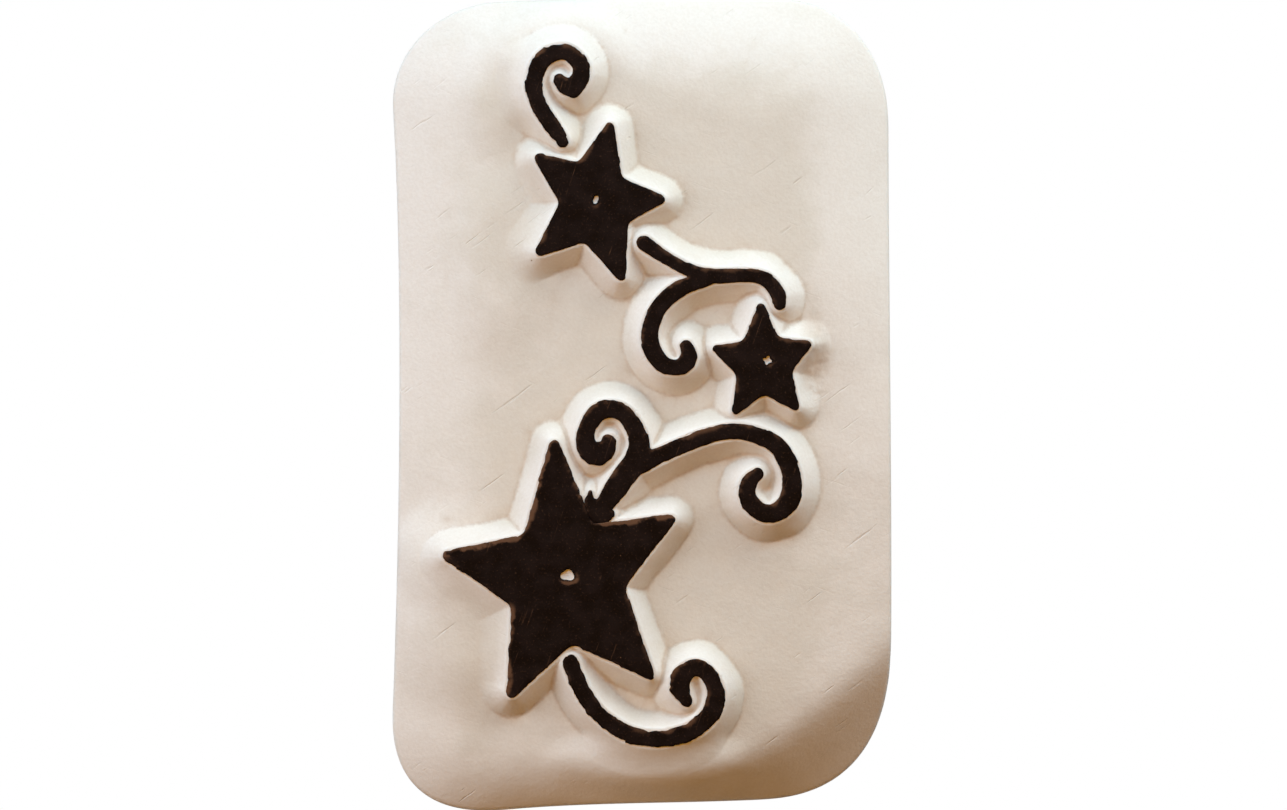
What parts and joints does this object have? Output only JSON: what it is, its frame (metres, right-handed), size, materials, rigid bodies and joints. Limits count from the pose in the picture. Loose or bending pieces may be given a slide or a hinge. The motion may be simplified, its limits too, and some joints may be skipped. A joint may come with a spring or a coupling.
{
  "type": "rubber stamp",
  "caption": "Palm-held craft stamp: a rounded cream rubber block engraved in relief with stars and curling vines, its raised printing faces capped in a thin dark skin.",
  "frame": {"origin": "middle of the block's box on the surface that its back rests on", "axes": "+Z out of the printing side, +Y towards the top of the design, +X to the right of the design seen from the printing side"},
  "size_m": [0.0498, 0.081, 0.016],
  "materials": {
    "cream_rubber": "matt moulded rubber, fine grain, cut relief",
    "dark_skin": "thin dark brown-black skin, satin, scratched"
  },
  "bodies": {
    "root": {"stamp_block": "cream_rubber", "top_curl_face": "dark_skin", "upper_star_face": "dark_skin", "branch_face": "dark_skin", "small_star_face": "dark_skin", "flourish_face": "dark_skin", "large_star_face": "dark_skin", "bottom_curl_face": "dark_skin"}
  },
  "joints": []
}
